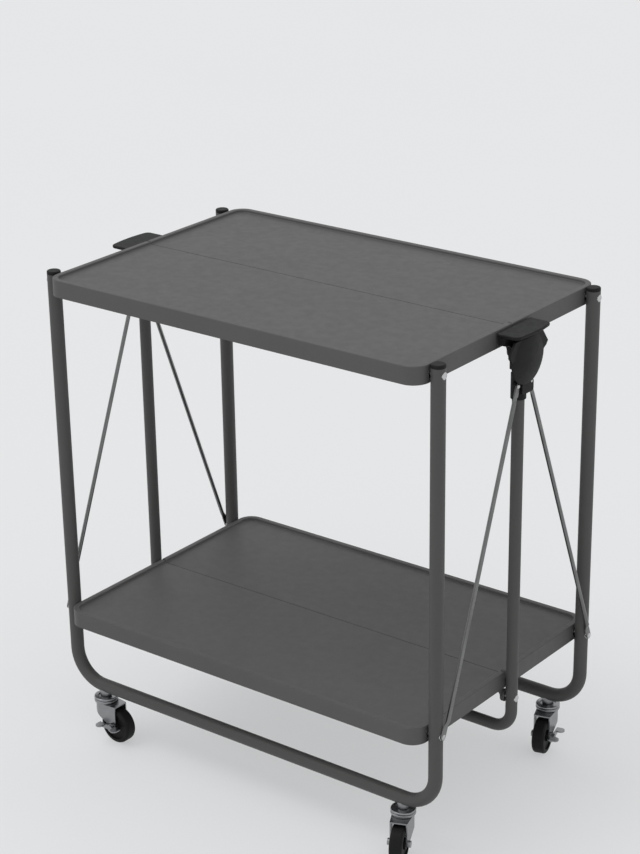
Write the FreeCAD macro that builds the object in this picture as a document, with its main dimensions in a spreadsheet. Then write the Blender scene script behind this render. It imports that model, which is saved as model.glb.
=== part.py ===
"""Folding trolley: two trays that split along the middle, carried by three U-shaped tube frames.

The outer frames stand on casters. Lifting the centre frame by its two grips folds every half tray
down beside it and draws the outer frames together. Stay rods run from the outer legs to a collar
that slides on each centre leg.

Millimetres. X runs along the trays, Y across them, Z up. The origin is on the floor, under the
middle of the open trolley. What sits at an end is drawn for the right end, and is turned half
round the Z axis for the left one.
"""
import FreeCAD, Part
import math
import os

import Sketcher

Vector = FreeCAD.Vector
Rotation = FreeCAD.Rotation
Placement = FreeCAD.Placement
X_AXIS = Vector(1, 0, 0)
Y_AXIS = Vector(0, 1, 0)
Z_AXIS = Vector(0, 0, 1)
HALF_TURN = Rotation(Z_AXIS, 180)
QUARTER_TURN = Rotation(Z_AXIS, 90)
FULL_TURN = 360

# Driving dimensions: alias, value, meaning
SIZES = [
    ("tray_length", "639", "length of a tray along X"),
    ("tray_depth", "430", "depth of a tray across both halves"),
    ("top_tray_height", "731.5", "floor to the rim of the top tray"),
    ("lower_tray_height", "215.5", "floor to the rim of the lower tray"),
    ("rim_height", "25", "height of a tray's skirt"),
    ("rim_border", "8.5", "width of the raised border"),
    ("recess_depth", "4", "depth of the tray surface below the border"),
    ("recess_round", "1.9", "rounding of the step between border and surface"),
    ("tray_corner", "24", "radius of a tray's outer corners"),
    ("sheet_thickness", "1", "tray sheet"),
    ("rim_round", "1.4", "rounding of the rim's top edge"),
    ("seam_gap", "1", "gap between the two halves of a tray"),
    ("seam_flange", "12", "height of the flange that stiffens the seam edge"),
    ("seam_round", "3.2", "rounding of the border where it meets the seam"),
    ("frame_tube", "20", "diameter of the outer frames' tube"),
    ("centre_tube", "17", "diameter of the centre frame's tube"),
    ("tube_wall", "1.5", "wall of every tube"),
    ("leg_gap", "1", "gap between a tray end and an outer leg"),
    ("leg_inset", "29", "outer leg's axis from the tray's long edge"),
    ("centre_gap", "3", "gap between a tray end and a centre leg"),
    ("frame_bend", "50", "bend radius of the outer frames, on the axis"),
    ("centre_bend", "30", "bend radius of the centre frame, on the axis"),
    ("centre_base_height", "126.5", "floor to the axis of the centre frame's base tube"),
    ("cap_height", "5", "height of a leg cap above its tube"),
    ("cap_rise", "1.8", "top of a leg cap above the rim"),
    ("cap_plug", "6", "length of a cap's plug inside the tube"),
    ("cap_round", "2", "rounding of a cap's top edge"),
    ("pivot_drop", "13", "outer pivots below the rim"),
    ("hinge_drop", "37", "centre hinges below the rim"),
    ("pin_diameter", "6", "diameter of the tray pivots and hinge pins"),
    ("pin_head", "10", "diameter of their heads"),
    ("head_height", "1.5", "height of a pin's head"),
    ("low_head_height", "0.8", "height of the flat head behind a rod's eye"),
    ("washer_diameter", "14", "diameter of the pivot washers"),
    ("play", "0.2", "side play beside a washer"),
    ("lug_thickness", "1.5", "thickness of a hinge lug"),
    ("lug_radius", "9", "radius of a hinge lug's eye"),
    ("lug_weld", "14", "height of the part of a lug that is welded on"),
    ("running", "0.08", "radial clearance of a running fit"),
    ("free_gap", "0.3", "gap between parts that move past each other"),
    ("rod_diameter", "6", "diameter of a stay rod"),
    ("rod_eye", "9", "width of a rod's flattened end"),
    ("rod_upper_flat", "2.2", "thickness of a rod's upper eye"),
    ("rod_lower_flat", "2", "thickness of a rod's lower eye"),
    ("rod_flat_length", "15", "length of a rod's flattened end from the pivot"),
    ("rod_swage", "8", "length over which the flat becomes round"),
    ("rod_spread", "14", "upper rod pivots from the middle plane"),
    ("rod_pivot_drop", "80", "upper rod pivots below the top tray's rim"),
    ("rod_pin", "4", "diameter of an upper rod pin"),
    ("rod_pin_head", "7", "diameter of an upper rod pin's head"),
    ("rod_rivet", "5", "diameter of the rivet in a rod's lower eye"),
    ("rod_rivet_head", "8", "diameter of that rivet's head"),
    ("collar_wall", "2", "wall of the collar's sleeve"),
    ("collar_play", "0.15", "radial play of the collar on its leg"),
    ("collar_below", "22", "collar's lower end below the rod pivots"),
    ("collar_above", "13", "collar's upper end above the rod pivots"),
    ("collar_corner", "4", "corner radius of the collar's plates"),
    ("wing_half_width", "18.5", "half width of the collar's wing"),
    ("wing_thickness", "4", "thickness of the collar's wing"),
    ("wing_reach", "6.5", "outer face of the wing from the leg's axis"),
    ("wing_below", "14", "wing's lower edge below the rod pivots"),
    ("wing_above", "6", "wing's upper edge above the rod pivots"),
    ("web_half_width", "9", "half width of the web between wing and cover"),
    ("cover_thickness", "2.6", "thickness of the collar's outer cover"),
    ("cover_above", "3", "cover's upper edge above the rod pivots"),
    ("grip_half_length", "41", "half length of the grip's flange"),
    ("grip_reach", "27", "flange's outer edge from the centre leg's axis"),
    ("grip_corner", "9", "corner radius of the flange"),
    ("grip_bow", "4", "bow of the flange's outer edge"),
    ("grip_thickness", "4.5", "thickness of the flange"),
    ("grip_drop", "2.5", "top of the flange below the rim"),
    ("grip_round", "1.8", "rounding of the flange's edges"),
    ("grip_gap", "2.8", "gap between a tray end and the flange"),
    ("sleeve_back", "7", "flat back of the grip's sleeve from the leg's axis"),
    ("sleeve_radius", "14", "outer radius of the grip's sleeve"),
    ("sleeve_length", "52", "length of the sleeve below the flange"),
    ("brace_half_width", "40", "half width of the brace under the flange"),
    ("brace_height", "11", "height of the brace's straight sides"),
    ("brace_curve", "24", "radius that leads the brace into the sleeve"),
    ("brace_front", "3", "front of the brace beyond the leg's axis"),
    ("leg_end_drop", "1", "end of a centre leg below the flange's underside"),
    ("lever_radius", "38", "radius of the lever's round lower end"),
    ("lever_centre_drop", "34", "centre of that round below the flange"),
    ("lever_ear_reach", "8", "how far the ears stand beyond the round"),
    ("lever_ear_rise", "10", "ear tips above the centre of the round"),
    ("lever_ear_land", "5", "height of the ears' flat face below their tips"),
    ("lever_ear_face", "15.4", "flat face of the ears from the centre leg's axis"),
    ("lever_neck_half", "33", "half width of the lever's top edge"),
    ("lever_top_drop", "6", "top of the lever below the flange"),
    ("lever_wall", "2.2", "wall of the lever"),
    ("lever_reach", "21", "middle of the lever's domed face from the centre leg's axis"),
    ("lever_bow", "11.5", "how far the dome falls back over the reach of the ears"),
    ("lever_hinge_drop", "10", "lever hinge below the flange"),
    ("lever_hinge_reach", "11", "lever hinge from the centre leg's axis"),
    ("lever_pin", "3", "diameter of the lever's hinge pin"),
    ("knuckle_radius", "3.7", "radius of the hinge knuckles"),
    ("knuckle_width", "4", "width of a hinge knuckle"),
    ("knuckle_inset", "11", "inner face of the grip's knuckles from the middle plane"),
    ("caster_inset", "3.5", "swivel axes from the ends of the frames' bends"),
    ("wheel_diameter", "55", "caster wheel"),
    ("wheel_width", "19", "width of the tread"),
    ("wheel_round", "4", "rounding of the tread's edges"),
    ("hub_radius", "8.5", "radius of a wheel's hub"),
    ("hub_proud", "0.8", "how far the hub stands out of the tread's side"),
    ("dish_depth", "2.5", "depth of the dish between hub and tread"),
    ("tread_thickness", "6.5", "radial thickness of the tread band"),
    ("trail", "23.5", "wheel axle from the swivel axis"),
    ("axle_diameter", "6", "caster axle"),
    ("axle_head", "10", "diameter of an axle's heads"),
    ("axle_head_height", "1.6", "height of an axle's heads"),
    ("fork_plate", "2", "thickness of a fork's sheet"),
    ("fork_play", "0.5", "side play beside the hub"),
    ("fork_front", "15.5", "radius of the fork's round front"),
    ("fork_rear_half", "12.5", "half width of the fork's rear edge"),
    ("fork_reach", "29", "fork's rear edge from the swivel axis"),
    ("fork_shoulder", "10", "height of the fork's front below its crown"),
    ("fork_heel", "4", "lower end of the rear edge above the axle"),
    ("fork_eye", "5", "radius of the fork around the axle"),
    ("boss_width", "4.2", "width of the spacer between hub and axle head"),
    ("crown_gap", "5", "gap between wheel and crown"),
    ("race_radius", "18", "radius of the swivel races"),
    ("race_height", "4.5", "height of the fork's race above its crown"),
    ("cup_height", "4", "height of the fixed race above it"),
    ("race_round", "1.5", "rounding of the races' edges"),
    ("groove_width", "3.5", "width of the groove round the stem's collar"),
    ("groove_depth", "1.5", "depth of that groove"),
    ("stem_gap", "5.7", "gap between the fixed race and the base tube"),
    ("kingpin_diameter", "8", "diameter of the stem"),
    ("kingpin_head", "13", "diameter of the stem's lower head"),
    ("kingpin_head_height", "2.5", "height of that head"),
    ("stem_collar", "8.5", "radius of the stem's collar under the tube"),
    ("stem_inside", "8", "stem's length inside the tube"),
    ("brake_thickness", "2.5", "thickness of a brake lever"),
    ("brake_hub", "6.5", "radius of a brake lever's hub"),
    ("brake_front", "18", "front pedal's middle from the axle"),
    ("brake_rear", "12", "rear pedal's middle from the axle"),
    ("brake_arm", "3.5", "half width of a brake lever's arm"),
    ("pedal_half", "6", "half width of a pedal and radius of its end"),
    ("pedal_reach", "11", "how far a pedal stands out of the lever"),
    ("pedal_thickness", "2", "thickness of a pedal"),
    ("overrun", "2", "how far cuts run past the faces that they open"),
]

# Ends and sides of the trolley, as signs along X and Y
ENDS = {"right": 1, "left": -1}
SIDES = {"front": -1, "back": 1}

# Each caster's side and end, the way it trails in degrees from +X, and its brake's side, if any
CASTERS = [
    ("front", "right", -68, 0),
    ("front", "left", -2, -1),
    ("back", "right", -75, 1),
    ("back", "left", 112, 0),
]

# Numbers that the sketcher uses for its own axes, for its origin and for the points of an edge
HORIZONTAL_AXIS, VERTICAL_AXIS = range(-1, -3, -1)
FIRST, LAST, CENTRE = range(1, 4)
ORIGIN = (HORIZONTAL_AXIS, FIRST)

doc = FreeCAD.newDocument("folding_trolley")
sheet = doc.addObject("Spreadsheet::Sheet", "Sizes")
for row, (alias, value, meaning) in enumerate(SIZES, start=1):
    sheet.set(f"A{row}", meaning)
    sheet.set(f"B{row}", value)
    sheet.setAlias(f"B{row}", alias)
doc.recompute()

nodes = []


class Length:
    """A value with the sheet expression that gives it, so that a property can be bound to it."""

    def __init__(self, value, words):
        self.value = value
        self.words = words

    @staticmethod
    def of(item):
        return item if isinstance(item, Length) else Length(float(item), f"({item})")

    def joined(self, other, sign, value):
        return Length(value, f"({self.words} {sign} {other.words})")

    def __add__(self, other):
        other = Length.of(other)
        return self.joined(other, "+", self.value + other.value)

    def __sub__(self, other):
        other = Length.of(other)
        return self.joined(other, "-", self.value - other.value)

    def __mul__(self, other):
        other = Length.of(other)
        return self.joined(other, "*", self.value * other.value)

    def __truediv__(self, other):
        other = Length.of(other)
        return self.joined(other, "/", self.value / other.value)

    def __neg__(self):
        return Length.of(0) - self

    def __radd__(self, other):
        return Length.of(other) + self

    def __rmul__(self, other):
        return Length.of(other) * self


class Sheet:
    """Gives each driving dimension by its alias."""

    def __getattr__(self, alias):
        return Length(float(sheet.get(alias)), f"Sizes.{alias}")


size = Sheet()
nothing = Length.of(0)


def number(item):
    return item.value if isinstance(item, Length) else float(item)


def root_of_squares(one, other):
    squares = one * one + other * other
    return Length(math.sqrt(squares.value), f"sqrt({squares.words})")


def bow_radius(half_chord, rise):
    """Radius of the arc that rises this much over a chord of twice this half."""
    return (half_chord * half_chord + rise * rise) / (rise * 2)


def bind(item, prop, length):
    item.setExpression(prop, Length.of(length).words)


def place(item, at, rotation=Rotation()):
    """Puts an object somewhere, with its place bound to the sheet."""
    item.Placement = Placement(Vector(*(number(part) for part in at)), rotation)
    for axis, part in zip("xyz", at):
        if isinstance(part, Length):
            bind(item, f"Placement.Base.{axis}", part)


def turn_for(end):
    return Rotation() if end > 0 else HALF_TURN


def node(item, label):
    item.Label = label
    nodes.append(item)
    return item


def new_body(name, at=(0, 0, 0), rotation=Rotation()):
    body = doc.addObject("PartDesign::Body", name)
    place(body, at, rotation)
    return body


def new_sketch(body, role, offset=0):
    """A sketch on one of the body's origin planes, moved along the plane's normal."""
    sketch = body.newObject("Sketcher::SketchObject", "Sketch")
    plane = next(item for item in body.Origin.OriginFeatures if item.Role == role)
    sketch.AttachmentSupport = [(plane, "")]
    sketch.MapMode = "FlatFace"
    if isinstance(offset, Length):
        bind(sketch, "AttachmentOffset.Base.z", offset)
    return sketch


def constrain(sketch, kind, *parts):
    """Adds a dimension. Its last part is the length."""
    index = sketch.addConstraint(Sketcher.Constraint(kind, *parts[:-1], number(parts[-1])))
    bind(sketch, f"Constraints[{index}]", parts[-1])


def fix(sketch, geometry, point, x, y):
    """Dimensions a point from the sketch's origin, or holds it on an axis."""
    for kind, axis, distance in (
        ("DistanceX", VERTICAL_AXIS, x),
        ("DistanceY", HORIZONTAL_AXIS, y),
    ):
        if isinstance(distance, Length):
            constrain(sketch, kind, *ORIGIN, geometry, point, distance)
        else:
            sketch.addConstraint(Sketcher.Constraint("PointOnObject", geometry, point, axis))


def arc_between(start, end, radius):
    """The short arc between two points. It turns left, or right for a negative radius."""
    chord = end - start
    left = Vector(-chord.y, chord.x, 0).normalize()
    reach = math.sqrt(max(radius**2 - (chord.Length / 2) ** 2, 0))
    bulge = math.copysign(abs(radius) - reach, radius)
    return Part.Arc(start, (start + end) / 2 - left * bulge, end)


def trace(sketch, steps, closed=True):
    """Draws an outline. Its steps are points, with an arc's radius between the two it joins."""
    steps = steps + steps[:1] if closed else steps
    before, radius = None, None
    first = None
    for step in steps:
        if isinstance(step, Length):
            radius = step
            continue
        if before is not None:
            start, end = (Vector(number(x), number(y), 0) for x, y in (before[0], step))
            if radius is None:
                geometry = sketch.addGeometry(Part.LineSegment(start, end), False)
            else:
                geometry = sketch.addGeometry(arc_between(start, end, radius.value), False)
                constrain(sketch, "Radius", geometry, radius if radius.value > 0 else -radius)
            backwards = radius is not None and radius.value < 0
            tail, head = (LAST, FIRST) if backwards else (FIRST, LAST)
            fix(sketch, geometry, tail, *before[0])
            if before[1]:
                join(sketch, before[1], (geometry, tail))
            first = first or (geometry, tail)
            before = (step, (geometry, head))
        else:
            before = (step, None)
        radius = None
    if closed:
        join(sketch, before[1], first)
    else:
        fix(sketch, *before[1], *before[0])
    return sketch


def join(sketch, one, other):
    sketch.addConstraint(Sketcher.Constraint("Coincident", *one, *other))


def circle(sketch, x, y, radius):
    outline = Part.Circle(Vector(number(x), number(y), 0), Z_AXIS, radius.value)
    geometry = sketch.addGeometry(outline, False)
    fix(sketch, geometry, CENTRE, x, y)
    constrain(sketch, "Radius", geometry, radius)
    return sketch


def rectangle(sketch, low_x, low_y, high_x, high_y):
    return trace(sketch, [(low_x, low_y), (high_x, low_y), (high_x, high_y), (low_x, high_y)])


def rounded(sketch, low_x, low_y, high_x, high_y, corner):
    """A rectangle with four rounded corners."""
    return trace(sketch, [
        (low_x + corner, low_y), (high_x - corner, low_y), corner,
        (high_x, low_y + corner), (high_x, high_y - corner), corner,
        (high_x - corner, high_y), (low_x + corner, high_y), corner,
        (low_x, high_y - corner), (low_x, low_y + corner), corner,
    ])


def feature(body, kind, sketch):
    item = body.newObject(f"PartDesign::{kind}", kind)
    item.Profile = sketch
    return item


def pad(body, sketch, length, reverse=False):
    item = feature(body, "Pad", sketch)
    item.Reversed = reverse
    bind(item, "Length", length)
    return item


def pocket(body, sketch, length, reverse=False):
    """Cuts against the sketch's normal, or along it when reversed."""
    item = feature(body, "Pocket", sketch)
    item.Reversed = reverse
    bind(item, "Length", length)
    return item


def pierce(body, sketch):
    """Cuts right through the body on both sides of the sketch."""
    item = feature(body, "Pocket", sketch)
    item.SideType = "Symmetric"
    item.Type = "ThroughAll"
    return item


def revolve(body, sketch, axis):
    item = feature(body, "Revolution", sketch)
    item.ReferenceAxis = (sketch, [axis])
    item.Angle = FULL_TURN
    return item


def fillet(body, radius, chosen):
    """Rounds those edges of the body's last feature that pass the test."""
    doc.recompute()
    base = body.Tip
    edges = enumerate(base.Shape.Edges, start=1)
    names = [f"Edge{index}" for index, edge in edges if chosen(edge)]
    item = body.newObject("PartDesign::Fillet", "Fillet")
    item.Base = (base, names)
    bind(item, "Radius", radius)
    return item


def near(one, other):
    return abs(number(one) - number(other)) < size.running.value


def level(edge, height):
    """Whether a whole edge lies at one height."""
    return near(edge.BoundBox.ZMin, height) and near(edge.BoundBox.ZMax, height)


def primitive(kind, at, rotation=Rotation(), **lengths):
    item = doc.addObject(f"Part::{kind}", kind)
    for prop, length in lengths.items():
        bind(item, prop, length)
    place(item, at, rotation)
    return item


def cylinder(at, axis, radius, length):
    return primitive("Cylinder", at, Rotation(Z_AXIS, axis), Radius=radius, Height=length)


def block(low, high):
    """A box between two opposite corners."""
    sides = [top - bottom for bottom, top in zip(low, high)]
    return primitive("Box", low, Length=sides[0], Width=sides[1], Height=sides[2])


def fuse(*items):
    item = doc.addObject("Part::MultiFuse", "Fuse")
    item.Shapes = list(items)
    return item


def boolean(kind, base, tool):
    item = doc.addObject(f"Part::{kind}", kind)
    item.Base = base
    item.Tool = tool
    return item


def group(*items):
    item = doc.addObject("Part::Compound", "Group")
    item.Links = list(items)
    return item


def mirrored_pair(item):
    """A piece and its mirror image at the other end, as two separate solids."""
    twin = doc.addObject("Part::Mirroring", "Mirroring")
    twin.Source = item
    twin.Normal = X_AXIS
    return group(item, twin)


# Places that several pieces share
half_length = size.tray_length / 2
half_depth = size.tray_depth / 2
half_seam = size.seam_gap / 2
leg_reach = half_length + size.leg_gap + size.frame_tube / 2
leg_face = leg_reach + size.frame_tube / 2
leg_spread = half_depth - size.leg_inset
leg_top = size.top_tray_height + size.cap_rise - size.cap_height
centre_reach = half_length + size.centre_gap + size.centre_tube / 2
caster_reach = leg_reach - size.frame_bend - size.caster_inset
flange_under = size.top_tray_height - size.grip_drop - size.grip_thickness
centre_leg_top = flange_under - size.leg_end_drop
pin_radius = size.pin_diameter / 2
running_hole = pin_radius + size.running
tray_heights = [size.top_tray_height, size.lower_tray_height]
pivot_heights = [height - size.pivot_drop for height in tray_heights]
hinge_heights = [height - size.hinge_drop for height in tray_heights]
rod_pivot_height = size.top_tray_height - size.rod_pivot_drop

# A rod leans outwards from the collar, to clear the outer leg's face and the rivet in it
rod_top_reach = centre_reach + size.wing_reach + size.free_gap + size.rod_upper_flat / 2
cover_inside = size.wing_reach + size.rod_upper_flat + size.free_gap * 2
cover_outside = cover_inside + size.cover_thickness
rod_low_inside = leg_face + size.low_head_height + size.free_gap
rod_lean = rod_low_inside + size.rod_diameter / 2 - rod_top_reach
rod_rise = rod_pivot_height - pivot_heights[1]
rod_run = leg_spread - size.rod_spread
rod_length = root_of_squares(rod_rise, rod_run)

# The lever's back stays clear of the collar's cover, and its round is centred below the flange
lever_back = cover_outside + size.free_gap
lever_middle = -size.lever_centre_drop
lever_half = size.lever_radius + size.lever_ear_reach + size.overrun

# Heights and widths inside a caster, and the base tube's axis above it
wheel_radius = size.wheel_diameter / 2
hub_half = size.wheel_width / 2 + size.hub_proud
fork_inside = hub_half + size.fork_play
fork_outside = fork_inside + size.boss_width
crown_low = size.wheel_diameter + size.crown_gap
crown_high = crown_low + size.fork_plate
race_high = crown_high + size.race_height
cup_low = race_high + size.free_gap
cup_high = cup_low + size.cup_height
frame_base_height = cup_high + size.stem_gap + size.frame_tube / 2


def tube_frame(label, spread, tube, reach, top, base, bend, holes):
    """U of bent tube, down one leg, along the floor and up the other, with pierced legs."""
    body = new_body(label, (0, spread, 0))
    turn = reach - bend
    path = trace(new_sketch(body, "XZ_Plane"), [
        (-reach, top), (-reach, base + bend), bend, (-turn, base),
        (turn, base), bend, (reach, base + bend), (reach, top),
    ], closed=False)
    section = new_sketch(body, "XY_Plane", top)
    circle(section, -reach, 0, tube / 2)
    circle(section, -reach, 0, tube / 2 - size.tube_wall)
    doc.recompute()
    pipe = feature(body, "AdditivePipe", section)
    pipe.Spine = (path, [f"Edge{index}" for index, _ in enumerate(path.Shape.Edges, start=1)])
    drilled = new_sketch(body, "YZ_Plane")
    for height in holes:
        circle(drilled, 0, height, pin_radius)
    pierce(body, drilled)
    return node(body, label)


def outer_frame(name, side):
    frame = tube_frame(
        f"{name}_frame_tube", leg_spread * side, size.frame_tube, leg_reach, leg_top,
        frame_base_height, size.frame_bend, pivot_heights,
    )
    sockets = new_sketch(frame, "XY_Plane")
    for end in ENDS.values():
        circle(sockets, caster_reach * end, 0, size.kingpin_diameter / 2)
    pocket(frame, sockets, frame_base_height, reverse=True)


def leg_caps(name, side):
    """Plugs in the open ends of an outer frame's legs."""
    body = new_body("Cap", (leg_reach, leg_spread * side, leg_top))
    outside = size.frame_tube / 2
    inside = outside - size.tube_wall
    profile = trace(new_sketch(body, "XZ_Plane"), [
        (0, -size.cap_plug), (inside, -size.cap_plug), (inside, 0), (outside, 0),
        (outside, size.cap_height - size.cap_round), size.cap_round,
        (outside - size.cap_round, size.cap_height), (0, size.cap_height),
    ])
    revolve(body, profile, "V_Axis")
    node(mirrored_pair(body), f"{name}_leg_caps")


def rivet(at, around, reach, head):
    """Rivet through an upright round leg, with its outer head saddled on the leg.

    Its origin is on the leg's axis. Around is the leg's radius, and reach goes to the inner head.
    """
    body = new_body("Rivet", at)
    head_radius = size.pin_head / 2
    crown = trace(new_sketch(body, "XZ_Plane"), [
        (0, 0), (around + head, 0), bow_radius(head_radius, head),
        (around, head_radius), (0, head_radius),
    ])
    revolve(body, crown, "H_Axis")
    pierce(body, circle(new_sketch(body, "XY_Plane"), 0, 0, around))
    shank = rectangle(new_sketch(body, "XZ_Plane"), -reach, 0, around + head / 2, pin_radius)
    revolve(body, shank, "H_Axis")
    end = trace(new_sketch(body, "XZ_Plane"), [
        (-reach - size.head_height, 0), (-reach, 0),
        (-reach, head_radius), bow_radius(head_radius, size.head_height),
    ])
    revolve(body, end, "H_Axis")
    return body


def washer(at, thickness):
    """Flat washer round a pin along X."""
    body = new_body("Washer", at)
    ring = circle(new_sketch(body, "YZ_Plane"), 0, 0, size.washer_diameter / 2)
    circle(ring, 0, 0, running_hole)
    pad(body, ring, thickness)
    return body


def outer_pivots(name, side):
    """Rivets that carry the half trays on an outer frame, with a washer at each tray end."""
    spread = leg_spread * side
    reach = size.frame_tube / 2 + size.leg_gap + size.sheet_thickness + size.play
    heads = [size.head_height, size.low_head_height]
    rivets = [
        rivet((leg_reach, spread, height), size.frame_tube / 2, reach, head)
        for height, head in zip(pivot_heights, heads)
    ]
    thickness = size.leg_gap - size.play * 2
    washers = [
        washer((half_length + size.play, spread, height), thickness) for height in pivot_heights
    ]
    node(group(*(mirrored_pair(item) for item in rivets)), f"{name}_pivot_rivets")
    node(group(*(mirrored_pair(item) for item in washers)), f"{name}_pivot_washers")


def centre_hinges():
    """Pins through the centre legs and the lugs of both half trays, with their washers."""
    reach = (
        size.centre_tube / 2 + size.centre_gap + size.sheet_thickness
        + size.lug_thickness + size.play
    )
    rounds = [size.sleeve_radius, size.centre_tube / 2]
    pins = [
        rivet((centre_reach, 0, height), around, reach, size.head_height)
        for height, around in zip(hinge_heights, rounds)
    ]
    between = half_length - size.sheet_thickness + size.play
    beyond = half_length + size.lug_thickness + size.play
    washers = []
    for height in hinge_heights:
        washers.append(washer((between, 0, height), size.sheet_thickness - size.play * 2))
        washers.append(washer(
            (beyond, 0, height), size.centre_gap - size.lug_thickness - size.play * 2,
        ))
    node(group(*(mirrored_pair(item) for item in pins)), "centre_hinge_pins")
    node(group(*(mirrored_pair(item) for item in washers)), "centre_hinge_washers")


def tray_outline(sketch, inset, seam_inset):
    """Half tray, drawn in from its three outer edges and from its seam."""
    side = half_length - inset
    front = inset - half_depth
    seam = -half_seam - seam_inset
    corner = size.tray_corner - inset
    return trace(sketch, [
        (-side, seam), (-side, front + corner), corner, (corner - side, front),
        (side - corner, front), corner, (side, front + corner), (side, seam),
    ])


def border_groove(sketch):
    """The hollow under the raised border, between the skirt and the step."""
    outside = size.sheet_thickness
    inside = size.rim_border - size.sheet_thickness
    side, inner_side = half_length - outside, half_length - inside
    front, inner_front = outside - half_depth, inside - half_depth
    corner, inner_corner = size.tray_corner - outside, size.tray_corner - inside
    seam = -half_seam - size.sheet_thickness
    return trace(sketch, [
        (-side, seam), (-side, front + corner), corner, (corner - side, front),
        (side - corner, front), corner, (side, front + corner), (side, seam),
        (inner_side, seam), (inner_side, inner_front + inner_corner), -inner_corner,
        (inner_side - inner_corner, inner_front),
        (inner_corner - inner_side, inner_front), -inner_corner,
        (-inner_side, inner_front + inner_corner), (-inner_side, seam),
    ])


def on_outline(edge, inset, height):
    """Whether an edge belongs to the tray's outline at this inset and height."""
    if not level(edge, height):
        return False
    if isinstance(edge.Curve, Part.Circle):
        return near(edge.Curve.Radius, size.tray_corner - inset)
    middle = edge.CenterOfMass
    return near(abs(middle.x), half_length - inset) or near(middle.y, inset - half_depth)


def half_tray(label, height, turn):
    """Half of a pressed sheet tray: skirt, raised border and sunken surface, open below.

    It is drawn for the front half, with the rim at zero and the seam along the X axis.
    """
    body = new_body(label, (0, 0, height), turn)
    skirt_end = -size.rim_height
    floor_under = -size.recess_depth - size.sheet_thickness

    pad(body, tray_outline(new_sketch(body, "XY_Plane", skirt_end), nothing, nothing),
        size.rim_height)
    recess = tray_outline(new_sketch(body, "XY_Plane"), size.rim_border, -size.seam_gap)
    pocket(body, recess, size.recess_depth)
    fillet(body, size.recess_round, lambda edge: (
        on_outline(edge, size.rim_border, 0)
        or on_outline(edge, size.rim_border, -size.recess_depth)
    ))
    fillet(body, size.rim_round, lambda edge: on_outline(edge, nothing, 0))

    drop = size.seam_round
    rounded_off = trace(new_sketch(body, "YZ_Plane"), [
        (-half_seam, -drop), drop, (-half_seam - drop, 0), (-half_seam - drop, size.overrun),
        (0, size.overrun), (0, -drop),
    ])
    pierce(body, rounded_off)

    hollow = tray_outline(
        new_sketch(body, "XY_Plane", skirt_end), size.sheet_thickness, size.sheet_thickness,
    )
    pocket(body, hollow, floor_under - skirt_end, reverse=True)
    groove = border_groove(new_sketch(body, "XY_Plane", floor_under))
    pocket(body, groove, size.recess_depth, reverse=True)
    below_flange = rectangle(
        new_sketch(body, "XY_Plane", skirt_end),
        size.sheet_thickness - half_length, -half_seam - size.sheet_thickness - size.overrun,
        half_length - size.sheet_thickness, 0,
    )
    pocket(body, below_flange, floor_under - size.seam_flange - skirt_end, reverse=True)
    pivots = circle(new_sketch(body, "YZ_Plane"), -leg_spread, -size.pivot_drop, running_hole)
    pierce(body, pivots)
    return node(body, label)


def hinge_lugs(label, height, turn, inner_face):
    """Plates welded to a half tray's ends, which hang below the seam and turn on the hinge pins."""
    body = new_body("Lug", (0, 0, height), turn)
    gusset = size.hinge_drop - size.rim_height
    seam_side = -half_seam - size.sheet_thickness
    far_side = -size.lug_radius - gusset
    top = size.lug_weld - size.rim_height
    arm = trace(new_sketch(body, "YZ_Plane", inner_face), [
        (seam_side, -size.hinge_drop), (seam_side, top), (far_side, top),
        (far_side, -size.rim_height), -gusset, (-size.lug_radius, -size.hinge_drop),
    ])
    pad(body, arm, size.lug_thickness)
    eye = new_sketch(body, "YZ_Plane", inner_face)
    pad(body, circle(eye, 0, -size.hinge_drop, size.lug_radius), size.lug_thickness)
    pierce(body, circle(new_sketch(body, "YZ_Plane"), 0, -size.hinge_drop, running_hole))
    node(mirrored_pair(body), label)


def rod_eye(reach, height, thickness, hole, upwards):
    """Flattened end of a rod round a pivot along X, and the hole through it."""
    half, width = thickness / 2, size.rod_eye / 2
    far = height + size.rod_flat_length if upwards else height - size.rod_flat_length
    low, high = (height, far) if upwards else (far, height)
    flat = block((reach - half, -width, low), (reach + half, width, high))
    end = cylinder((reach - half, 0, height), X_AXIS, width, thickness)
    drill = cylinder((reach - thickness, 0, height), X_AXIS, hole, thickness * 2)
    rim = primitive(
        "Ellipse", (reach, 0, far), QUARTER_TURN, MajorRadius=width, MinorRadius=half,
    )
    return [flat, end], drill, rim


def stay_rod(label, end, side):
    """Steel rod with flattened eyes, hanging from its collar and leaning out to the outer leg."""
    top_round = -size.rod_flat_length - size.rod_swage
    low_round = size.rod_flat_length + size.rod_swage - rod_length
    low_eye_reach = rod_low_inside + size.rod_lower_flat / 2 - rod_top_reach
    top_hole = size.rod_pin / 2 + size.running
    top_flats, top_drill, top_rim = rod_eye(nothing, nothing, size.rod_upper_flat, top_hole, False)
    low_flats, low_drill, low_rim = rod_eye(
        low_eye_reach, -rod_length, size.rod_lower_flat, size.rod_rivet / 2, True,
    )
    rounds = [
        primitive("Circle", (reach, 0, height), QUARTER_TURN, Radius=size.rod_diameter / 2)
        for reach, height in ((0, top_round), (rod_lean, low_round))
    ]
    shaft = doc.addObject("Part::Loft", "Shaft")
    shaft.Sections = [top_rim, *rounds, low_rim]
    shaft.Solid = True
    shaft.Ruled = True
    steel = fuse(shaft, *top_flats, *low_flats)
    rod = boolean("Cut", steel, fuse(top_drill, low_drill))
    swing = math.degrees(math.atan2(rod_run.value, rod_rise.value)) * side * end
    place(
        rod, (rod_top_reach * end, size.rod_spread * side, rod_pivot_height),
        turn_for(end) * Rotation(X_AXIS, swing),
    )
    node(rod, label)


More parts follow.
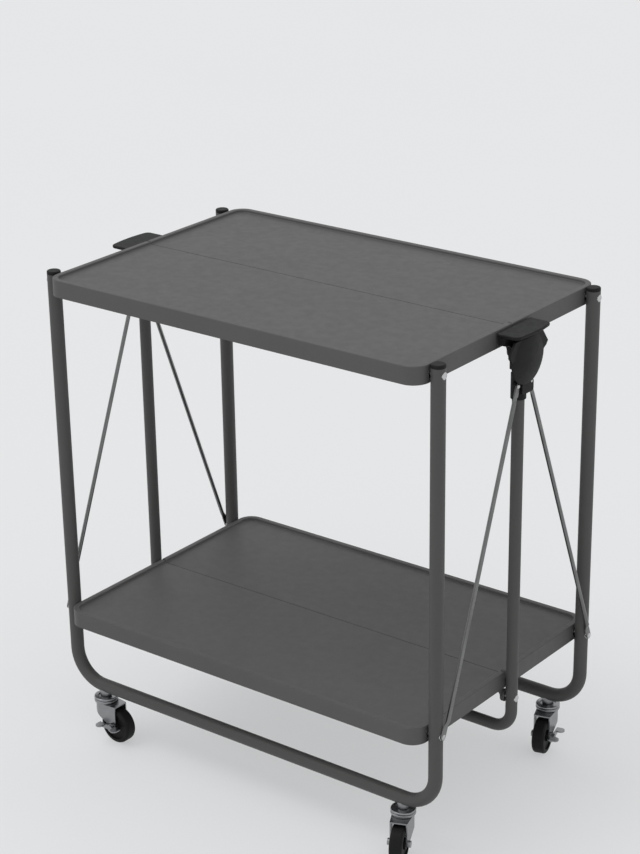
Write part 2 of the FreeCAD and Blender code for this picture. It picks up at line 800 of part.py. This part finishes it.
def rod_rivet(label, end, side):
    """Rivet in a rod's lower eye, with its head outside."""
    body = new_body(label, (leg_reach * end, leg_spread * side, pivot_heights[1]), turn_for(end))
    inside = rod_low_inside - leg_reach
    outside = inside + size.rod_lower_flat
    shank, head = size.rod_rivet / 2, size.rod_rivet_head / 2
    profile = trace(new_sketch(body, "XZ_Plane"), [
        (inside, 0), (outside + size.head_height, 0), bow_radius(head, size.head_height),
        (outside, head), (outside, shank), (inside, shank),
    ])
    revolve(body, profile, "H_Axis")
    node(body, label)


def collar(name, end):
    """Slider on a centre leg: a sleeve, a wing that carries the rods and a cover over one of them."""
    turn = turn_for(end)
    body = new_body(f"{name}_collar", (centre_reach * end, 0, rod_pivot_height), turn)
    bore = size.centre_tube / 2 + size.collar_play
    sleeve = new_sketch(body, "XY_Plane", -size.collar_below)
    pad(body, circle(sleeve, 0, 0, bore + size.collar_wall), size.collar_below + size.collar_above)
    wing = new_sketch(body, "YZ_Plane", size.wing_reach - size.wing_thickness)
    rounded(
        wing, -size.wing_half_width, -size.wing_below, size.wing_half_width, size.wing_above,
        size.collar_corner,
    )
    pad(body, wing, size.wing_thickness)
    web = new_sketch(body, "YZ_Plane", size.wing_reach)
    rectangle(
        web, -size.web_half_width, -size.wing_below, size.web_half_width, size.wing_above,
    )
    pad(body, web, cover_inside - size.wing_reach)
    cover = new_sketch(body, "YZ_Plane", cover_inside)
    rounded(
        cover, -size.web_half_width, -size.wing_below, size.wing_half_width, size.cover_above,
        size.collar_corner,
    )
    pad(body, cover, size.cover_thickness)
    pierce(body, circle(new_sketch(body, "XY_Plane"), 0, 0, bore))
    holes = new_sketch(body, "YZ_Plane")
    for side in SIDES.values():
        circle(holes, size.rod_spread * side, 0, size.rod_pin / 2)
    pierce(body, holes)
    node(body, f"{name}_collar")
    pins = [rod_pin(end, side, turn) for side in SIDES.values()]
    node(group(*pins), f"{name}_collar_pins")


def rod_pin(end, side, turn):
    """Pin for a rod's upper eye. The one under the cover has no head."""
    body = new_body("Pin", (centre_reach * end, size.rod_spread * side * end,
                            rod_pivot_height), turn)
    inside = size.wing_reach - size.wing_thickness
    shank, head = size.rod_pin / 2, size.rod_pin_head / 2
    covered = side > 0
    outside = cover_outside if covered else cover_inside
    plain_end = [(outside, 0), (outside, shank)]
    headed_end = [
        (outside + size.head_height, 0), bow_radius(head, size.head_height),
        (outside, head), (outside, shank),
    ]
    steps = [(inside, 0), *(plain_end if covered else headed_end), (inside, shank)]
    revolve(body, trace(new_sketch(body, "XZ_Plane"), steps), "H_Axis")
    return body


def knuckle(body, side):
    """Ear that hangs from the flange and holds the lever's hinge pin."""
    offset = size.knuckle_inset if side < 0 else -size.knuckle_inset - size.knuckle_width
    ear = rectangle(
        new_sketch(body, "XZ_Plane", offset), size.brace_front, -size.lever_hinge_drop,
        size.lever_hinge_reach, 0,
    )
    pad(body, ear, size.knuckle_width)
    eye = new_sketch(body, "XZ_Plane", offset)
    circle(eye, size.lever_hinge_reach, -size.lever_hinge_drop, size.knuckle_radius)
    pad(body, eye, size.knuckle_width)


def grip(name, end):
    """Moulding on a centre leg's upper end: flange to lift by, brace, and sleeve round the leg."""
    body = new_body(f"{name}_grip", (centre_reach * end, 0, flange_under), turn_for(end))
    back = half_length + size.grip_gap - centre_reach
    front = size.grip_reach - size.grip_bow
    half = size.grip_half_length
    flange = trace(new_sketch(body, "XY_Plane"), [
        (back, -half), (front, -half), bow_radius(half, size.grip_bow),
        (front, half), (back, half),
    ])
    pad(body, flange, size.grip_thickness)
    fillet(body, size.grip_corner, lambda edge: (
        near(edge.BoundBox.XMin, front) and near(edge.BoundBox.XMax, front)
        and not near(edge.BoundBox.ZLength, 0)
    ))
    fillet(body, size.grip_round, lambda edge: (
        (level(edge, 0) or level(edge, size.grip_thickness))
        and not near(edge.BoundBox.XMax, back)
    ))
    brace_half = size.brace_half_width
    brace_end = -size.brace_height - size.brace_curve
    neck = brace_half - size.brace_curve
    brace = trace(new_sketch(body, "YZ_Plane", -size.sleeve_back), [
        (-brace_half, 0), (-brace_half, -size.brace_height), -size.brace_curve,
        (-neck, brace_end), (neck, brace_end), -size.brace_curve,
        (brace_half, -size.brace_height), (brace_half, 0),
    ])
    pad(body, brace, size.sleeve_back + size.brace_front)
    sleeve = circle(new_sketch(body, "XY_Plane"), 0, 0, size.sleeve_radius)
    pad(body, sleeve, size.sleeve_length, reverse=True)
    for side in SIDES.values():
        knuckle(body, side)
    beyond = size.sleeve_radius + size.overrun
    flat = rectangle(new_sketch(body, "XY_Plane"), -beyond, -beyond, -size.sleeve_back, beyond)
    pocket(body, flat, size.sleeve_length + size.overrun)
    bore = circle(new_sketch(body, "XY_Plane", -size.sleeve_length), 0, 0, size.centre_tube / 2)
    pocket(body, bore, size.sleeve_length - size.leg_end_drop, reverse=True)
    pierce(body, circle(
        new_sketch(body, "YZ_Plane"), 0, hinge_heights[0] - flange_under, pin_radius,
    ))
    pierce(body, circle(
        new_sketch(body, "XZ_Plane"), size.lever_hinge_reach, -size.lever_hinge_drop,
        size.lever_pin / 2,
    ))
    node(body, f"{name}_grip")


def lever_outline(inset, top):
    """The lever's shield shape, drawn in and drawn right through along X."""
    body = new_body("LeverOutline")
    radius = size.lever_radius - inset
    ear = radius + size.lever_ear_reach
    ear_height = lever_middle + size.lever_ear_rise
    neck = size.lever_neck_half - inset
    shield = trace(new_sketch(body, "YZ_Plane"), [
        (-ear, ear_height), (-radius, lever_middle), radius, (0, lever_middle - radius), radius,
        (radius, lever_middle), (ear, ear_height), (neck, top), (-neck, top),
    ])
    pad(body, shield, size.lever_reach + size.overrun)
    return body


def lever_space(inset):
    """The space behind the lever's face, moved in: a dome, and the flat land of the ears."""
    dome = new_body("LeverDome", (0, 0, lever_middle))
    apex = size.lever_reach - inset
    profile = trace(new_sketch(dome, "XZ_Plane"), [
        (0, 0), (apex, 0), bow_radius(lever_half, size.lever_bow),
        (apex - size.lever_bow, lever_half), (0, lever_half),
    ])
    revolve(dome, profile, "H_Axis")
    ears = new_body("LeverEars", (0, lever_half, 0))
    face = size.lever_ear_face - inset
    land = size.lever_ear_rise - size.lever_ear_land
    slope_end = lever_middle - size.lever_ear_land
    side = trace(new_sketch(ears, "XZ_Plane"), [
        (0, 0), (0, slope_end), (lever_back - inset, slope_end), (face, lever_middle + land), (face, 0),
    ])
    pad(ears, side, lever_half * 2)
    return fuse(dome, ears)


def latch_lever(name, end):
    """Shield-shaped lever: a shell open at its back, hung from the grip's hinge pin."""
    top = -size.lever_top_drop
    outside = boolean("Common", lever_outline(nothing, top), lever_space(nothing))
    inside = boolean("Common", lever_outline(size.lever_wall, top + size.overrun),
                     lever_space(size.lever_wall))
    behind = block(
        (nothing, -lever_half, lever_middle - lever_half), (lever_back, lever_half, nothing),
    )
    shell = boolean("Cut", outside, fuse(inside, behind))
    lug_start = size.knuckle_inset + size.knuckle_width + size.free_gap
    lug_end = lug_start + size.knuckle_width
    low = -size.lever_hinge_drop - size.knuckle_radius
    high = size.knuckle_radius - size.lever_hinge_drop
    lugs = []
    for start, stop in ((lug_start, lug_end), (-lug_end, -lug_start)):
        lugs.append(block((size.lever_hinge_reach, start, low), (size.lever_reach, stop, high)))
        lugs.append(cylinder(
            (size.lever_hinge_reach, start, -size.lever_hinge_drop), Y_AXIS,
            size.knuckle_radius, size.knuckle_width,
        ))
    trimmed = boolean("Common", fuse(*lugs), lever_space(size.lever_wall / 2))
    hole = cylinder(
        (size.lever_hinge_reach, -lug_end - size.overrun, -size.lever_hinge_drop), Y_AXIS,
        size.lever_pin / 2 + size.running, (lug_end + size.overrun) * 2,
    )
    lever = boolean("Cut", fuse(shell, trimmed), hole)
    place(lever, (centre_reach * end, 0, flange_under), turn_for(end))
    node(lever, f"{name}_latch_lever")
    pin = cylinder(
        ((centre_reach + size.lever_hinge_reach) * end, -lug_end,
         flange_under - size.lever_hinge_drop),
        Y_AXIS, size.lever_pin / 2, lug_end * 2,
    )
    node(pin, f"{name}_lever_pin")


def race(sketch, low, high, top_steps):
    """Half section of a round race, with what stands on it."""
    radius, edge = size.race_radius, size.race_round
    return trace(sketch, [
        (0, low), (radius - edge, low), edge, (radius, low + edge), (radius, high - edge), edge,
        (radius - edge, high), *top_steps,
    ])


def caster_stem(label, at):
    """Fixed half of a caster: race, collar saddled under the tube, and stem headed below."""
    body = new_body(label, at)
    tube_axis = frame_base_height
    groove_edge, groove_low = size.stem_collar + size.groove_width, cup_high - size.groove_depth
    top_steps = [
        (groove_edge, cup_high), (groove_edge, groove_low), (size.stem_collar, groove_low),
        (size.stem_collar, tube_axis), (0, tube_axis),
    ]
    revolve(body, race(new_sketch(body, "XZ_Plane"), cup_low, cup_high, top_steps), "V_Axis")
    pierce(body, circle(new_sketch(body, "YZ_Plane"), 0, tube_axis, size.frame_tube / 2))
    stem, head = size.kingpin_diameter / 2, size.kingpin_head / 2
    head_top = crown_low - size.free_gap
    head_low = head_top - size.kingpin_head_height
    stem_top = tube_axis - size.frame_tube / 2 + size.stem_inside
    kingpin = trace(new_sketch(body, "XZ_Plane"), [
        (0, head_low), (head, head_low), (head, head_top), (stem, head_top),
        (stem, stem_top), (0, stem_top),
    ])
    revolve(body, kingpin, "V_Axis")
    node(body, label)


def fork_outline(sketch, inset, rear):
    """The fork from above: a round front, and sides that close in towards its rear edge."""
    front = size.fork_front - inset
    half = size.fork_rear_half - inset
    return trace(sketch, [
        (0, front), front, (-front, 0), front, (0, -front), (rear, -half), (rear, half),
    ])


def caster_fork(label, at, turn):
    """Swivelling half of a caster: race, crown, and a sheet skirt cut back to carry the axle."""
    body = new_body(label, at, turn)
    eye_low = wheel_radius - size.fork_eye
    skirt = fork_outline(new_sketch(body, "XY_Plane", eye_low), nothing, size.fork_reach)
    pad(body, skirt, crown_high - eye_low)
    hollow = fork_outline(
        new_sketch(body, "XY_Plane", eye_low), size.fork_plate, size.fork_reach + size.overrun,
    )
    pocket(body, hollow, crown_low - eye_low, reverse=True)
    behind, ahead = -size.fork_front - size.overrun, size.fork_reach + size.overrun
    below = eye_low - size.overrun
    eye_front, eye_rear = size.trail - size.fork_eye, size.trail + size.fork_eye
    cut_back = trace(new_sketch(body, "XZ_Plane"), [
        (behind, below), (ahead, below), (ahead, wheel_radius + size.fork_heel),
        (size.fork_reach, wheel_radius + size.fork_heel), (eye_rear, wheel_radius),
        -size.fork_eye, (size.trail, eye_low), -size.fork_eye, (eye_front, wheel_radius),
        (-size.fork_front, crown_low - size.fork_shoulder), (behind, crown_low - size.fork_shoulder),
    ])
    pierce(body, cut_back)
    revolve(
        body, race(new_sketch(body, "XZ_Plane"), crown_high, race_high, [(0, race_high)]), "V_Axis",
    )
    for offset in (fork_inside, -fork_outside):
        boss = circle(new_sketch(body, "XZ_Plane", offset), size.trail, wheel_radius, size.fork_eye)
        pad(body, boss, size.boss_width)
    pierce(body, circle(
        new_sketch(body, "XY_Plane"), 0, 0, size.kingpin_diameter / 2 + size.running,
    ))
    pierce(body, circle(
        new_sketch(body, "XZ_Plane"), size.trail, wheel_radius, size.axle_diameter / 2,
    ))
    node(body, label)


def caster_axle(label, at, turn, brake_side):
    """Headed axle, longer on the side of a brake lever."""
    body = new_body(label, at, turn)
    braked = fork_outside + size.brake_thickness + size.free_gap * 2
    low = -braked if brake_side < 0 else -fork_outside
    high = braked if brake_side > 0 else fork_outside
    shank, head = size.axle_diameter / 2, size.axle_head / 2
    low_end, high_end = low - size.axle_head_height, high + size.axle_head_height
    profile = trace(new_sketch(body, "XY_Plane"), [
        (0, low_end), (head, low_end), (head, low), (shank, low),
        (shank, high), (head, high), (head, high_end), (0, high_end),
    ])
    revolve(body, profile, "V_Axis")
    node(body, label)


def caster_wheel(label, at, turn):
    body = new_body(label, at, turn)
    bore = size.axle_diameter / 2 + size.running
    half = size.wheel_width / 2
    web = half - size.dish_depth
    band = wheel_radius - size.tread_thickness
    edge = size.wheel_round
    profile = trace(new_sketch(body, "XY_Plane"), [
        (bore, -hub_half), (size.hub_radius, -hub_half), (size.hub_radius, -web), (band, -web),
        (band, -half), (wheel_radius - edge, -half), edge, (wheel_radius, edge - half),
        (wheel_radius, half - edge), edge, (wheel_radius - edge, half), (band, half),
        (band, web), (size.hub_radius, web), (size.hub_radius, hub_half), (bore, hub_half),
    ])
    revolve(body, profile, "V_Axis")
    node(body, label)


def brake_lever(label, at, turn, brake_side):
    """Rocking lever on the axle, outside the fork, with a pedal turned outwards at each end."""
    body = new_body(label, at, turn)
    near_face = fork_outside + size.free_gap
    offset = near_face if brake_side < 0 else -near_face - size.brake_thickness
    arm = rectangle(
        new_sketch(body, "XZ_Plane", offset), -size.brake_front, -size.brake_arm,
        size.brake_rear, size.brake_arm,
    )
    pad(body, arm, size.brake_thickness)
    pad(body, circle(new_sketch(body, "XZ_Plane", offset), 0, 0, size.brake_hub),
        size.brake_thickness)
    root = near_face * brake_side
    tip = (near_face + size.brake_thickness + size.pedal_reach) * brake_side
    half = size.pedal_half * brake_side
    for along in (-size.brake_front, size.brake_rear):
        low, high = along - size.pedal_half, along + size.pedal_half
        pedal = trace(new_sketch(body, "XY_Plane", size.brake_arm - size.pedal_thickness), [
            (low, root), (high, root), (high, tip - half), half, (along, tip), half,
            (low, tip - half),
        ])
        pad(body, pedal, size.pedal_thickness)
    pierce(body, circle(
        new_sketch(body, "XZ_Plane"), 0, 0, size.axle_diameter / 2 + size.running,
    ))
    node(body, label)


def caster(side, end, heading, brake_side):
    """Swivel caster under an outer frame's base tube."""
    name = f"{side}_{end}_caster"
    x, y = caster_reach * ENDS[end], leg_spread * SIDES[side]
    turn = Rotation(Z_AXIS, heading)
    angle = math.radians(heading)
    at_axle = (
        x + size.trail * math.cos(angle), y + size.trail * math.sin(angle), wheel_radius,
    )
    caster_stem(f"{name}_stem", (x, y, 0))
    caster_fork(f"{name}_fork", (x, y, 0), turn)
    caster_axle(f"{name}_axle", at_axle, turn, brake_side)
    caster_wheel(f"{name}_wheel", at_axle, turn)
    if brake_side:
        brake_lever(f"{name}_brake", at_axle, turn, brake_side)


def build():
    for side_name, side in SIDES.items():
        outer_frame(side_name, side)
        leg_caps(side_name, side)
        outer_pivots(side_name, side)
    tube_frame(
        "centre_frame_tube", 0, size.centre_tube, centre_reach, centre_leg_top,
        size.centre_base_height, size.centre_bend, hinge_heights,
    )
    centre_hinges()

    lug_faces = {
        "front": half_length - size.sheet_thickness - size.lug_thickness,
        "back": half_length,
    }
    for tier, height in zip(("top", "lower"), tray_heights):
        for side_name, side in SIDES.items():
            turn = turn_for(-side)
            half_tray(f"{tier}_{side_name}_tray", height, turn)
            hinge_lugs(f"{tier}_{side_name}_lugs", height, turn, lug_faces[side_name])

    for end_name, end in ENDS.items():
        grip(end_name, end)
        latch_lever(end_name, end)
        collar(end_name, end)
        for side_name, side in SIDES.items():
            stay_rod(f"{side_name}_{end_name}_rod", end, side)
            rod_rivet(f"{side_name}_{end_name}_rod_rivet", end, side)

    for side, end, heading, brake_side in CASTERS:
        caster(side, end, heading, brake_side)


def check():
    """Stops on any failed object or shape, before a file is written."""
    for item in doc.Objects:
        if "Invalid" in item.State or "Error" in item.State:
            raise RuntimeError(f"{item.Label} failed: {item.State}")
    for item in nodes:
        if item.Shape.isNull() or not item.Shape.isValid():
            raise RuntimeError(f"{item.Label} has no valid shape")


build()
doc.recompute()
check()
os.makedirs("parts", exist_ok=True)
for item in nodes:
    item.Shape.exportStep(os.path.join("parts", f"{item.Label}.step"))
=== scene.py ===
from math import cos, radians, sin

import bpy
from mathutils import Matrix, Vector

# The looks of a two-tier folding trolley: trays and round tubes in matt graphite powder coat,
# moulded black grips, levers and collars, drawn steel rods, and zinc-plated casters with black wheels.

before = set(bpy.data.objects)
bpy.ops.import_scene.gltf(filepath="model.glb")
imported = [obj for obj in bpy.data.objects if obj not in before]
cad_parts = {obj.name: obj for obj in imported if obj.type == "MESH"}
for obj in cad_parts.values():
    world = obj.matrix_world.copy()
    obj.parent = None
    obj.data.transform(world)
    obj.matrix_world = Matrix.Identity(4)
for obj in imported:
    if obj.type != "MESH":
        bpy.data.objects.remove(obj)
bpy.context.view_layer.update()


# Nodes and materials

# The range that most of a noise texture's values lie in
NOISE_LOW, NOISE_HIGH = 0.3, 0.7


def linear(*levels):
    """A colour of three 8-bit display levels, or one for grey, as the linear colour that shows it."""
    levels = levels * 3 if len(levels) == 1 else levels
    shares = [level / 255 for level in levels]
    return [s / 12.92 if s <= 0.04045 else ((s + 0.055) / 1.055) ** 2.4 for s in shares] + [1.0]


class Nodes:
    """A node tree that starts empty."""

    def __init__(self, tree):
        self.tree = tree
        self.tree.nodes.clear()

    def node(self, kind, *places, **sockets):
        """Adds a node. Values and links go to its sockets by place, or by name with _ for a space."""
        made = self.tree.nodes.new(kind)
        for index, value in enumerate(places):
            self.put(made.inputs[index], value)
        for name, value in sockets.items():
            self.put(made.inputs[name.replace("_", " ")], value)
        return made

    def put(self, socket, value):
        if isinstance(value, bpy.types.NodeSocket):
            self.tree.links.new(value, socket)
        else:
            socket.default_value = value

    def clamped(self, operation, one, other):
        """The result of an operation on two values, held between 0 and 1."""
        made = self.node("ShaderNodeMath", one, other)
        made.operation = operation
        made.use_clamp = True
        return made.outputs["Value"]

    def seen(self):
        """1 for rays of the camera, and for those of a reflection or through glass, and else 0."""
        ray = self.node("ShaderNodeLightPath").outputs
        direct = self.clamped("ADD", ray["Is Camera Ray"], ray["Is Glossy Ray"])
        return self.clamped("ADD", direct, ray["Is Transmission Ray"])


class Finish(Nodes):
    """A material of nodes over the object's own coordinates, which are the row frame in metres."""

    def __init__(self, name, **sockets):
        self.material = bpy.data.materials.new(name)
        self.material.use_nodes = True
        super().__init__(self.material.node_tree)
        self.shader = self.node("ShaderNodeBsdfPrincipled", **sockets)
        self.output = self.node("ShaderNodeOutputMaterial", Surface=self.shader.outputs["BSDF"])
        self.place = self.node("ShaderNodeTexCoord").outputs["Object"]

    def set(self, **sockets):
        """Sets or links sockets of the shader."""
        for name, value in sockets.items():
            self.put(self.shader.inputs[name.replace("_", " ")], value)

    def noise(self, size, detail=2.0, finer=None):
        """Noise from 0 to 1 with features of that size in metres, or finer by a factor for each axis."""
        place = self.place
        if finer:
            place = self.node("ShaderNodeMapping", Vector=place, Scale=finer).outputs["Vector"]
        made = self.node("ShaderNodeTexNoise", Vector=place, Scale=1 / size, Detail=detail)
        return made.outputs["Fac"]

    def pits(self, size):
        """Distance to the nearest of points about that far apart, in metres."""
        made = self.node("ShaderNodeTexVoronoi", Vector=self.place, Scale=1 / size)
        return made.outputs["Distance"]

    def spread(self, noise, low, high):
        """The noise's range, mapped to another range."""
        made = self.node("ShaderNodeMapRange", Value=noise, From_Min=NOISE_LOW, From_Max=NOISE_HIGH,
                         To_Min=low, To_Max=high)
        return made.outputs["Result"]

    def clouded(self, noise, first, second):
        """Two colours that change over with the noise."""
        made = self.tree.nodes.new("ShaderNodeMix")
        made.data_type = "RGBA"
        factor, first_colour, second_colour = made.inputs[0], made.inputs[6], made.inputs[7]
        self.put(factor, self.spread(noise, 0.0, 1.0))
        self.put(first_colour, first)
        self.put(second_colour, second)
        return made.outputs[2]

    def bump(self, height, depth, **over):
        """A normal for that height, which is depth metres from 0 to 1, over another normal."""
        return self.node("ShaderNodeBump", Height=height, Distance=depth, **over).outputs["Normal"]


def powder_coat(name, dark, light):
    """Matt powder coat: faint mottling, fine orange peel and a finer grain."""
    cloud_size, gloss_size, peel_size, grain_size = 0.09, 0.012, 0.0016, 0.00035
    peel_depth, grain_depth = 0.00004, 0.00002
    rough_low, rough_high = 0.44, 0.54
    made = Finish(name, Metallic=0.0, IOR=1.5, Specular_IOR_Level=0.25)
    peel = made.bump(made.noise(peel_size, detail=1.0), peel_depth)
    made.set(
        Base_Color=made.clouded(made.noise(cloud_size, detail=3.0), dark, light),
        Roughness=made.spread(made.noise(gloss_size, detail=3.0), rough_low, rough_high),
        Normal=made.bump(made.noise(grain_size), grain_depth, Normal=peel),
    )
    return made.material


def moulded(name, dark, light, rough_low, rough_high):
    """Moulded plastic with the fine spark-eroded grain of its tool."""
    cloud_size, gloss_size, grain_size, grain_depth = 0.02, 0.006, 0.0005, 0.00003
    made = Finish(name, Metallic=0.0, IOR=1.46, Specular_IOR_Level=0.18)
    made.set(
        Base_Color=made.clouded(made.noise(cloud_size), dark, light),
        Roughness=made.spread(made.noise(gloss_size), rough_low, rough_high),
        Normal=made.bump(made.pits(grain_size), grain_depth),
    )
    return made.material


def steel(name, dark, light, rough_low, rough_high, finer=None):
    """Bare or plated steel: clouded tone and fine marks, drawn out where it was drawn."""
    cloud_size, gloss_size, mark_size, mark_depth = 0.02, 0.003, 0.0008, 0.000003
    made = Finish(name, Metallic=1.0)
    made.set(
        Base_Color=made.clouded(made.noise(cloud_size, detail=3.0, finer=finer), dark, light),
        Roughness=made.spread(
            made.noise(gloss_size, detail=3.0, finer=finer), rough_low, rough_high,
        ),
        Normal=made.bump(made.noise(mark_size, finer=finer), mark_depth),
    )
    return made.material


# How much finer the marks on a rod are along each axis. A rod stands nearly upright.
ROD_GRAIN = (8, 1, 0.6)

# Each of the record's material slots, with the finish of its pieces
finishes = {
    "tray_paint": powder_coat("tray_paint_dressed", linear(88, 87, 87), linear(90, 89, 89)),
    "frame_paint": powder_coat("frame_paint_dressed", linear(80, 80, 79), linear(82, 82, 81)),
    "black_plastic": moulded("black_plastic_dressed", linear(27), linear(31), 0.5, 0.58),
    "wheel_plastic": moulded("wheel_plastic_dressed", linear(24), linear(28), 0.5, 0.6),
    "rod_steel": steel("rod_steel_dressed", linear(114), linear(130), 0.26, 0.36, ROD_GRAIN),
    "zinc_steel": steel("zinc_steel_dressed", linear(144, 145, 147), linear(154, 155, 157), 0.26, 0.34),
    "fastener_steel": steel("fastener_steel_dressed", linear(185), linear(205), 0.2, 0.3),
}


# The pieces

# Radius of the plastic pieces' moulded edges and the distance at which facets' corners are one point,
# in metres, and the least turn that makes an edge
MOULDED_EDGE = 0.0005
SAME_POINT = 0.000002
EDGE_TURN = radians(40)


def soften(piece):
    """Rounds a moulded piece's sharp edges, over its merged facets."""
    weld = piece.modifiers.new("weld", "WELD")
    weld.merge_threshold = SAME_POINT
    bevel = piece.modifiers.new("edges", "BEVEL")
    bevel.width = MOULDED_EDGE
    bevel.segments = 2
    bevel.limit_method = "ANGLE"
    bevel.angle_limit = EDGE_TURN
    piece.modifiers.new("shading", "WEIGHTED_NORMAL")


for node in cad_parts.values():
    slots = [place.material.name.split(".")[0] for place in node.material_slots]
    for place, slot in zip(node.material_slots, slots):
        place.material = finishes[slot]
    if "black_plastic" in slots:
        soften(node)


# Floor, light and camera

# The floor's half width and the size of its clouds in metres, its two tones, and the share of it that
# is seen as even light of the backdrop's tone
FLOOR_HALF = 20.0
FLOOR_CLOUD = 0.8
FLOOR_LIGHT, FLOOR_SHADE = linear(238, 239, 241), linear(236, 237, 239)
FLOOR_GLOW = 0.55
BACKDROP = linear(231, 232, 233)

# Strength of the surroundings' light at the horizon and overhead, and the key light's direction from
# the trolley, its strength, and its width in degrees
HORIZON, ZENITH = 0.85, 0.95
KEY_TOWARDS = Vector((-0.6, -0.35, 1.2))
KEY_STRENGTH = 0.65
KEY_WIDTH = 40


def add_to_scene(name, data):
    made = bpy.data.objects.new(name, data)
    bpy.context.scene.collection.objects.link(made)
    return made


def floor():
    """A pale matt floor. Part of its tone is seen as even light, which keeps the shadows soft."""
    mesh = bpy.data.meshes.new("floor")
    corners = [(x * FLOOR_HALF, y * FLOOR_HALF, 0) for x, y in ((-1, -1), (1, -1), (1, 1), (-1, 1))]
    mesh.from_pydata(corners, [], [(0, 1, 2, 3)])
    finish = Finish("floor_finish", Roughness=0.9, IOR=1.3)
    clouds = finish.noise(FLOOR_CLOUD, detail=3.0)
    finish.set(Base_Color=finish.clouded(clouds, FLOOR_SHADE, FLOOR_LIGHT))
    glow = finish.node("ShaderNodeEmission", Color=BACKDROP)
    share = finish.clamped("MULTIPLY", finish.seen(), FLOOR_GLOW)
    blend = finish.node(
        "ShaderNodeMixShader", share, finish.shader.outputs["BSDF"], glow.outputs["Emission"],
    )
    finish.put(finish.output.inputs["Surface"], blend.outputs["Shader"])
    mesh.materials.append(finish.material)
    add_to_scene("floor", mesh)


def key_light():
    """A wide far panel of light from the upper left."""
    lamp = bpy.data.lights.new("key", "SUN")
    lamp.energy = KEY_STRENGTH
    lamp.angle = radians(KEY_WIDTH)
    made = add_to_scene("key", lamp)
    made.rotation_mode = "QUATERNION"
    made.rotation_quaternion = KEY_TOWARDS.to_track_quat("Z", "Y")


def surroundings():
    """Even pale light, a little brighter overhead. Seen or reflected, it matches the floor."""
    world = bpy.data.worlds.new("studio")
    world.use_nodes = True
    made = Nodes(world.node_tree)
    towards = made.node("ShaderNodeTexCoord").outputs["Generated"]
    upward = made.node("ShaderNodeSeparateXYZ", Vector=towards).outputs["Z"]
    strength = made.node("ShaderNodeMapRange", Value=upward, To_Min=HORIZON, To_Max=ZENITH)
    light = made.node("ShaderNodeBackground", Strength=strength.outputs["Result"])
    backdrop = made.node("ShaderNodeBackground", Color=BACKDROP)
    chosen = made.node(
        "ShaderNodeMixShader", made.seen(), light.outputs["Background"], backdrop.outputs["Background"],
    )
    made.node("ShaderNodeOutputWorld", Surface=chosen.outputs["Shader"])
    bpy.context.scene.world = world


# The photograph's camera: focal length and centre line in pixels of a 640 by 854 picture, the place in
# metres, and how far it is turned, tipped and rolled, in degrees.
PICTURE_HEIGHT = 854
FOCAL = 2281.2
CENTRE_LINE = 512.7
CAMERA_AT = Vector((1.8573, -2.3962, 1.7202))
YAW, PITCH, ROLL = 37.859, 23.898, -0.893
SENSOR = 36.0
NEAREST, FARTHEST = 0.05, 100


def camera():
    """The photograph's camera. The picture's height is the sensor's width."""
    lens = bpy.data.cameras.new("photo_camera")
    lens.sensor_width = SENSOR
    lens.lens = FOCAL * SENSOR / PICTURE_HEIGHT
    lens.shift_y = (CENTRE_LINE - PICTURE_HEIGHT / 2) / PICTURE_HEIGHT
    lens.clip_start, lens.clip_end = NEAREST, FARTHEST
    yaw, pitch, roll = radians(YAW), radians(PITCH), radians(ROLL)
    ahead = Vector((-sin(yaw) * cos(pitch), cos(yaw) * cos(pitch), -sin(pitch)))
    right = Vector((cos(yaw), sin(yaw), 0))
    up = right.cross(ahead)
    across = cos(roll) * right + sin(roll) * up
    above = cos(roll) * up - sin(roll) * right
    turn = Matrix((across, above, -ahead)).transposed().to_4x4()
    made = add_to_scene("photo_camera", lens)
    made.matrix_world = Matrix.Translation(CAMERA_AT) @ turn
    bpy.context.scene.camera = made


floor()
key_light()
surroundings()
camera()
bpy.context.scene.view_settings.view_transform = "Standard"
